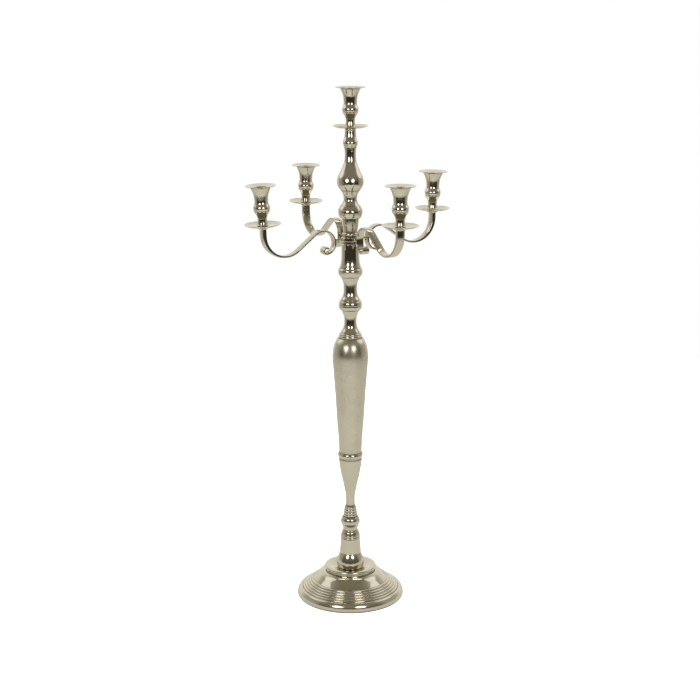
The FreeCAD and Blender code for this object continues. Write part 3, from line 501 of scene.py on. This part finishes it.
column_piece("pear_knop", [[
    (0, 6.8), (0.067, 3.1), (0.117, 1.0), (0.215, 0), (0.353, 2.6), (0.42, 5.4), (0.49, 8.1), (0.565, 10.6),
    (0.65, 13.1), (0.75, 14.6), (0.84, 14.8), (0.93, 14.4), (1, 13.6)]])
top_low, top_height, top_radius = height_and_radius("top_knob")
STUD_HOLE = 2.55              # mm, radius of the hole for a cup's stud
ROD_ROOM = 20.25              # mm, depth of the hole that the tie rod ends in
WEB = 2.05                    # mm of metal between the two holes
SEAT_CHAMFER = 1.0            # mm
stud_hole_low = top_low + ROD_ROOM + WEB
top_loop = [
    [(0, top_low + ROD_ROOM)], [(ROD_BORE, top_low + ROD_ROOM)], [(ROD_BORE, top_low)],
    [(top_radius - inside, top_low + share * top_height) for share, inside in (
        (0, 2.2), (0.08, 1.6), (0.26, 0), (0.42, 1.0), (0.62, 3.0), (0.82, 3.7))],
    [(top_radius - 3.7, top_low + 0.97 * top_height)],
    [(top_radius - 3.7 - SEAT_CHAMFER, top_low + top_height)],
    [(STUD_HOLE, top_low + top_height)], [(STUD_HOLE, stud_hole_low)], [(0, stud_hole_low)]]
fit(turned("top_knob_casting", top_loop, 128), polished_nickel, "stand", "top_knob")

# ---- 7. Arm ring and pegs ----
# A polished ring that turns on the tie rod. Each arm hangs from it on a steel peg screwed into its band.
ring_low, ring_height, ring_radius = height_and_radius("arm_ring")
HUB_INSIDE = 2.1              # mm that the hub lies inside the band
BAND = (0.241, 0.809)         # the band's lower and upper edge as shares of the height
BAND_BEVEL = (0.057, 0.8)     # its bevel as a share of the height, and in mm inwards
column_piece("arm_ring", [
    [(0, HUB_INSIDE)], [(BAND[0], HUB_INSIDE)], [(BAND[0], BAND_BEVEL[1])], [(BAND[0] + BAND_BEVEL[0], 0)],
    [(BAND[1] - BAND_BEVEL[0], 0)], [(BAND[1], BAND_BEVEL[1])], [(BAND[1], HUB_INSIDE)], [(1, HUB_INSIDE)]],
    body="arm_cluster")
for number in range(1, 5):
    dress(f"arm_peg_{number}", polished_nickel)

# ---- 8. Arms ----
# Cast straps with a curl at the inner end, a high inner bend, a deep U and a thick end that the cup is
# screwed into. They are polished lengthwise and their edges are rounded over.
ARM_TILTS = (-0.9, 0.8, -2.7, 0.0)          # degrees off level, upwards positive
BEND_DROPS = (14.0, 12.8, 16.6, 12.8)       # mm from the peg down to the lowest point of the middle line
CREST_RISES = (23.4, 30.2, 22.0, 28.0)      # mm from the peg up to the inner bend's highest point
SCROLL_RADII = (19.2, 19.2, 19.2, 16.6)     # mm
STRAP_WIDTH = 15.6            # mm, as are the rest but for the angle
STRAP_THICKNESS = 4.0
SEAT_THICKNESS = 9.0          # where the cup is screwed in
STRAP_CORNER = 1.1            # radius of its long edges
STRAP_CROWN = 0.6             # fall of a face from its middle to its edges
ARM_REACH = 182.5             # column's axis to the cup's axis
ARM_SEAT_RISE = 41.0          # peg to the end of the middle line under the cup
BEND_RADIUS = 44.0
CREST_RADIUS = 25.5
INNER_FACE = 36.0             # column's axis to the middle line at the peg
SCROLL_DROP = 3.5             # peg to the centre of the scroll
CURL_RADIUS = 5.8
CURL_END = 150.0              # degrees, where the curl ends
STRAP_STEP = 1.6              # between rows of the mesh
ARC_POINTS = 24
FACE_POINTS = 9               # across a face of the strap
CORNER_POINTS = 3             # round each of its corners


def arc(centre, radius, start, end, thick=(STRAP_THICKNESS, STRAP_THICKNESS)):
    """Rows of x, z and thickness along an arc between two angles in degrees; the thickness changes evenly."""
    share = np.linspace(0, 1, ARC_POINTS)
    a = np.radians(start + (end - start) * share)
    return np.stack([centre[0] + radius * np.cos(a), centre[1] + radius * np.sin(a),
                     thick[0] + (thick[1] - thick[0]) * share], 1)


def strap_line(crest_rise, bend_drop, scroll_radius):
    """Middle line of a strap from its curl to its seat, as x, z and thickness: curl, scroll, crest and U are
    arcs, with straight lines that touch them between."""
    bend = np.array([ARM_REACH - BEND_RADIUS, BEND_RADIUS - bend_drop])
    crest = np.array([INNER_FACE + CREST_RADIUS, crest_rise - CREST_RADIUS])
    scroll = np.array([INNER_FACE + scroll_radius, -SCROLL_DROP])
    curl = scroll + (0, CURL_RADIUS - scroll_radius)
    gap = bend - crest
    fall = np.degrees(np.arcsin((BEND_RADIUS + CREST_RADIUS) / np.hypot(*gap)) - np.arctan2(gap[1], gap[0]))
    rows = np.concatenate([
        arc(curl, CURL_RADIUS, CURL_END, -90), arc(scroll, scroll_radius, 270, 180),
        arc(crest, CREST_RADIUS, 180, 90 - fall), arc(bend, BEND_RADIUS, 270 - fall, 270),
        arc(bend, BEND_RADIUS, 270, 360, (STRAP_THICKNESS, SEAT_THICKNESS)),
        [[ARM_REACH, ARM_SEAT_RISE, SEAT_THICKNESS]]])
    length = np.concatenate([[0], np.cumsum(np.linalg.norm(np.diff(rows[:, :2], axis=0), axis=1))])
    keep = np.concatenate([[True], np.diff(length) > 1e-6])
    even = np.linspace(0, length[-1], int(length[-1] / STRAP_STEP))
    return np.stack([np.interp(even, length[keep], column) for column in rows[keep].T], 1), even


def strap(number):
    """An arm: its section is a rounded strip with slightly crowned faces, carried square to the middle line,
    point = line + left * through, with y across; then tilted about its peg and turned to its quarter."""
    line, length = strap_line(CREST_RISES[number], BEND_DROPS[number], SCROLL_RADII[number])
    thickness = line[:, 2].copy()
    from_tip = np.clip(length / (STRAP_THICKNESS / 2), 0, 1)
    thickness *= np.sqrt(np.clip(1 - (1 - from_tip) ** 2, 0.02, 1))
    way = np.gradient(line[:, :2], axis=0)
    way /= np.linalg.norm(way, axis=1)[:, None]
    left = np.stack([-way[:, 1], way[:, 0]], 1)
    across = np.linspace(-1, 1, FACE_POINTS)
    half_width = STRAP_WIDTH / 2
    flat = half_width - STRAP_CORNER
    corner = np.radians(np.linspace(0, 90, CORNER_POINTS + 2))[1:-1]
    one_side = np.concatenate([across * flat, flat + STRAP_CORNER * np.sin(corner), [half_width, half_width],
                               flat + STRAP_CORNER * np.sin(corner[::-1])])
    y = np.concatenate([one_side, -one_side])
    depth = np.tile(np.concatenate([0 * across, 1 - np.cos(corner), [1, 1], 1 - np.cos(corner[::-1])]), 2)
    upper = np.repeat([1.0, -1.0], [FACE_POINTS + CORNER_POINTS + 1, CORNER_POINTS + 1])
    face = np.concatenate([upper, -upper])
    crown = np.tile(np.concatenate([1 - across ** 2, np.zeros(2 * CORNER_POINTS + 2)]), 2)
    half = thickness[:, None] / 2
    corner_now = np.minimum(STRAP_CORNER, 0.9 * half)
    fall = STRAP_CROWN * (1 - crown[None]) * half / half.max()
    through = face[None] * (half - corner_now * depth[None] - fall)
    grid = np.stack([line[:, 0, None] + left[:, 0, None] * through, 0 * through + y[None],
                     line[:, 1, None] + left[:, 1, None] * through], -1)
    caps = [grid[:1].mean(1, keepdims=True) + 0 * grid[:1], grid[-1:].mean(1, keepdims=True) + 0 * grid[-1:]]
    grid = np.concatenate([caps[0], grid, caps[1]]) * MM
    edge = np.concatenate([[0], length, [length[-1] + STRAP_THICKNESS]])
    peg_z = (ring_low + (BAND[0] + BAND[1]) / 2 * ring_height) * MM
    pivot = Matrix.Translation((ring_radius * MM, 0, 0))
    tilt = pivot @ Matrix.Rotation(-np.radians(ARM_TILTS[number]), 4, "Y") @ pivot.inverted()
    place = Matrix.Rotation(number * np.pi / 2, 4, "Z") @ Matrix.Translation((0, 0, peg_z)) @ tilt
    grid = grid @ np.array(place.to_3x3()).T + np.array(place.to_translation())
    steps_over, steps_down = np.diff(np.append(y, y[0])), np.diff(np.append(depth, depth[0]))
    round_it = np.cumsum(np.hypot(steps_over, STRAP_THICKNESS * steps_down))
    plain = np.zeros(len(grid))
    return surface(f"arm_strap_{number + 1}", grid[:, ::-1], np.append(0, round_it) * MM, edge * MM,
                   plain, plain, False)


for number in range(4):
    fit(strap(number), polished_nickel, "arm_cluster", f"arm_{number + 1}")

# ---- 9. Cup sets ----
# On each seat: a small ferrule, a thin spun drip pan that is left loose, and a turned cup with a flared
# rim and a hole for a 22 mm candle. A stud from the cup holds all three.
seats = {joint["name"]: joint for joint in frame["joints"]}
top_seat_z = seats["cup_5_unscrew"]["pos_m"][2]


def above_seat(node):
    """Lowest and highest point of a cup set's node above its seat, in mm."""
    low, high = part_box(node)
    return (low.z - top_seat_z) / MM, (high.z - top_seat_z) / MM


FERRULE_RADIUS = 11.2         # mm
ferrule_low, ferrule_high = above_seat("cup_ferrule_5")
ferrule_edge = FERRULE_RADIUS - 0.7
ferrule_loop = [
    [(STUD_HOLE, ferrule_low)],
    [(ferrule_edge, ferrule_low), (FERRULE_RADIUS, (ferrule_low + ferrule_high) / 2),
     (ferrule_edge, ferrule_high)],
    [(STUD_HOLE, ferrule_high)]]

PAN_RADIUS = 34.2             # mm
PAN_FLAT = 20.0               # mm, radius of its flat middle
PAN_WALL = 1.5                # mm
pan_low, pan_high = above_seat("drip_pan_5")
pan_depth = pan_high - pan_low
pan_side = PAN_RADIUS - PAN_FLAT
pan_loop = [
    [(STUD_HOLE, pan_low)],
    [(PAN_FLAT, pan_low), (PAN_FLAT + 0.52 * pan_side, pan_low + 0.20 * pan_depth),
     (PAN_FLAT + 0.84 * pan_side, pan_low + 0.58 * pan_depth), (PAN_RADIUS, pan_high - 0.8)],
    [(PAN_RADIUS, pan_high - 0.8), (PAN_RADIUS - 0.3, pan_high), (PAN_RADIUS - 1.3, pan_high - 0.4)],
    [(PAN_RADIUS - 1.3, pan_high - 0.4), (PAN_FLAT + 0.76 * pan_side, pan_low + PAN_WALL + 0.48 * pan_depth),
     (PAN_FLAT + 0.44 * pan_side, pan_low + PAN_WALL + 0.16 * pan_depth), (PAN_FLAT - 1, pan_low + PAN_WALL)],
    [(STUD_HOLE, pan_low + PAN_WALL)]]

CUP_RIM = 28.7                # mm, radii of the cup from the rim down
CUP_BULB = 15.8
CUP_WAIST = 12.7
CUP_NECK = 8.7
CUP_FOOT = 10.8
CUP_RIM_THICKNESS = 1.7       # mm
CUP_DISH = 3.6                # mm, depth of the dished rim at the candle hole
CANDLE_HOLE = 11.2            # mm, radius
CANDLE_DEPTH = 25.0           # mm
STUD_IN_CUP = 12.0            # mm
cup_low, cup_top = above_seat("candle_cup_5")
plate_z = cup_top - CUP_RIM_THICKNESS
mouth_z = cup_top - CUP_DISH
cup_loop = [
    [(0, cup_low + STUD_IN_CUP)], [(STUD_HOLE, cup_low + STUD_IN_CUP)], [(STUD_HOLE, cup_low)],
    [(CUP_FOOT - 0.8, cup_low), (CUP_FOOT, cup_low + 1.2), (CUP_FOOT - 0.8, cup_low + 2.4)],
    [(CUP_FOOT - 1.4, cup_low + 3.2), (CUP_NECK, cup_low + 11.5), (CUP_NECK + 1.0, cup_low + 17.5),
     (CUP_NECK + 2.8, cup_low + 21.4), (CUP_BULB - 1.9, cup_low + 25.2)],
    [(CUP_BULB - 1.4, cup_low + 25.2), (CUP_BULB - 0.7, cup_low + 26.4), (CUP_BULB - 1.4, cup_low + 27.6)],
    [(CUP_BULB - 1.0, cup_low + 28.2), (CUP_BULB, cup_low + 32.6), (CUP_BULB - 0.7, cup_low + 36.4),
     (CUP_WAIST + 0.8, cup_low + 40.0), (CUP_WAIST, cup_low + 44.0), (CUP_WAIST + 0.4, cup_low + 50.0),
     (CUP_WAIST + 1.2, cup_low + 56.6), (CUP_WAIST + 2.5, cup_low + 61.0), (CUP_WAIST + 4.2, cup_low + 65.2),
     (CUP_WAIST + 6.8, plate_z - CUP_DISH + 1.6)],
    [(CUP_WAIST + 7.6, plate_z - CUP_DISH + 2.2), (CUP_RIM - 0.6, plate_z)],
    [(CUP_RIM - 0.6, plate_z), (CUP_RIM, cup_top - CUP_RIM_THICKNESS / 2), (CUP_RIM - 0.8, cup_top)],
    [(CUP_RIM - 0.8, cup_top), (CUP_RIM - 6.0, cup_top - 0.35 * CUP_DISH),
     (CANDLE_HOLE + 4.0, cup_top - 0.78 * CUP_DISH), (CANDLE_HOLE, mouth_z)],
    [(CANDLE_HOLE, mouth_z - CANDLE_DEPTH)], [(0, mouth_z - CANDLE_DEPTH)]]

for number in range(1, 6):
    seat = seats[f"cup_{number}_unscrew"]
    lean = Vector((0, 0, 1)).rotation_difference(Vector(seat["axis"]))
    place = Matrix.Translation(seat["pos_m"]) @ lean.to_matrix().to_4x4()
    fit(turned(f"ferrule_{number}", ferrule_loop, 96, place), polished_nickel,
        f"cup_{number}", f"cup_ferrule_{number}")
    fit(turned(f"pan_{number}_dish", pan_loop, 144, place), polished_nickel,
        f"pan_{number}", f"drip_pan_{number}")
    fit(turned(f"candle_cup_{number}_turned", cup_loop, 128, place), polished_nickel,
        f"cup_{number}", f"candle_cup_{number}")

# ---- 10. Table, light and viewpoint ----
# A plain white surface in a pale studio that is open and dark towards the viewer. Two soft round panels stand
# on the viewer's side, two broad ones at the sides, and a large one hangs overhead.
VIEWPOINT = Vector((-1.3557, -2.4188, 1.1676))
TILT_DOWN = 13.49             # degrees
VIEW_TURN = -29.28            # degrees about the vertical
LENS = 75.76                  # mm
away = Vector((np.sin(np.radians(-VIEW_TURN)), np.cos(np.radians(-VIEW_TURN)), 0))
to_right = Vector((away.y, -away.x, 0))

lens = bpy.data.cameras.new("viewpoint")
lens.lens = LENS
lens.sensor_width = 36.0
lens.shift_x = -0.0009
viewpoint = bpy.data.objects.new("viewpoint", lens)
viewpoint.location = VIEWPOINT
viewpoint.rotation_euler = (np.radians(90 - TILT_DOWN), 0, np.radians(VIEW_TURN))
bpy.context.scene.collection.objects.link(viewpoint)
bpy.context.scene.camera = viewpoint
bpy.context.scene.view_settings.view_transform = "Standard"

FLOOR_RADIUS = 2.25           # m
FLOOR_DEPTH = 0.01            # m, how far its edge is turned down
angle = np.linspace(0, 2 * np.pi, 129)
radii = np.array([0, 0.5, 1.0, 1.0])[:, None] * FLOOR_RADIUS
levels = np.array([0, 0, 0, -FLOOR_DEPTH])[:, None] + 0 * angle[None, :-1]
floor_grid = np.stack([radii * np.cos(angle[:-1]), radii * np.sin(angle[:-1]), levels], -1)
floor = surface("table_top", floor_grid[::-1], angle / (2 * np.pi), np.arange(5.0), np.zeros(4), np.zeros(4),
                False)
white_table = grained_material(
    "white_table", [(0.88, 0.88, 0.87, 1), (0.91, 0.91, 0.90, 1)], (0.6, 0.7), 60, 0.00002,
    Emission_Color=(1, 1, 1, 1))
table_tree = white_table.node_tree
overexposed = shader_node(table_tree, "ShaderNodeLightPath").outputs["Is Camera Ray"]
table_tree.links.new(overexposed, table_tree.nodes["Principled BSDF"].inputs["Emission Strength"])
floor.data.materials.append(white_table)


LIT_HEIGHT = 0.55             # m, middle of the object, where every panel points


def panel(name, bearing, distance, height, size, power):
    """Soft light panel in metres and watts: bearing in degrees from the viewer's side, to the right if
    positive."""
    turn = np.radians(bearing)
    spot = away * (-distance * np.cos(turn)) + to_right * (distance * np.sin(turn)) + Vector((0, 0, height))
    light = bpy.data.lights.new(name, "AREA")
    light.shape = "ELLIPSE"
    light.size, light.size_y = size
    light.energy = power
    made = bpy.data.objects.new(name, light)
    made.location = spot
    made.rotation_euler = (Vector((0, 0, LIT_HEIGHT)) - spot).to_track_quat("-Z", "Y").to_euler()
    made.visible_camera = False
    bpy.context.scene.collection.objects.link(made)
    return made


panel("left_panel", -29, 2.05, 1.19, (0.86, 0.86), 7)
panel("right_panel", 23, 2.05, 1.19, (0.86, 0.86), 7)
panel("left_side_light", -109, 1.4, 1.65, (1.2, 1.2), 2.6)
panel("right_side_light", 109, 1.4, 1.65, (1.2, 1.2), 2.6)
panel("ceiling_strip", 180, 0.6, 2.3, (1.6, 0.3), 3.0)
overhead = panel("overhead", 0, 0.01, 3.4, (6.0, 6.0), 55)
overhead.visible_glossy = False

studio = bpy.data.worlds.new("studio")
bpy.context.scene.world = studio
studio.use_nodes = True
sky = studio.node_tree
direction = shader_node(sky, "ShaderNodeTexCoord").outputs["Generated"]
toward = shader_node(sky, "ShaderNodeVectorMath", {0: direction, 1: tuple(-away)}, operation="DOT_PRODUCT")
upward = shader_node(sky, "ShaderNodeVectorMath", {0: direction, 1: (0, 0, 1)}, operation="DOT_PRODUCT")


def tone_ramp(value, tones, warmth):
    """Grey tones at given places along a value, a little warmer as warmth grows."""
    ramp = shader_node(sky, "ShaderNodeValToRGB", {0: value})
    stops = ramp.color_ramp.elements
    for _ in tones[2:]:
        stops.new(0.5)
    for stop, (position, tone) in zip(stops, tones):
        stop.position = position
        stop.color = (tone, tone * (1 - 0.4 * warmth), tone * (1 - warmth), 1)
    return ramp.outputs[0]


viewer_side = math_node(sky, "MULTIPLY_ADD", toward.outputs["Value"], 0.5, 0.5)
level = math_node(sky, "MULTIPLY_ADD", upward.outputs["Value"], 0.5, 0.5)
sides = tone_ramp(viewer_side, [(0.0, 1.0), (0.15, 0.92), (0.27, 0.50), (0.54, 0.42)], 0.07)
front = tone_ramp(level, [(0.0, 0.04), (0.47, 0.04), (0.51, 0.10), (0.62, 0.17), (0.80, 0.27)], 0.22)
front_share = shader_node(sky, "ShaderNodeMapRange", {
    "Value": viewer_side, "From Min": 0.54, "From Max": 0.70}, interpolation_type="SMOOTHSTEP")
wall = shader_node(sky, "ShaderNodeMix", {0: front_share.outputs[0], 6: sides, 7: front}, data_type="RGBA")
overhead_share = shader_node(sky, "ShaderNodeMapRange", {
    "Value": upward.outputs["Value"], "From Min": 0.72, "From Max": 0.92}, interpolation_type="SMOOTHSTEP")
room = shader_node(sky, "ShaderNodeMix", {
    0: overhead_share.outputs[0], 6: wall.outputs[2], 7: (0.25, 0.23, 0.17, 1)}, data_type="RGBA")
seen = shader_node(sky, "ShaderNodeLightPath").outputs["Is Camera Ray"]
backdrop = shader_node(sky, "ShaderNodeMix", {0: seen, 6: room.outputs[2], 7: (1.0, 1.0, 1.0, 1)},
                       data_type="RGBA")
sky.links.new(backdrop.outputs[2], sky.nodes["Background"].inputs["Color"])
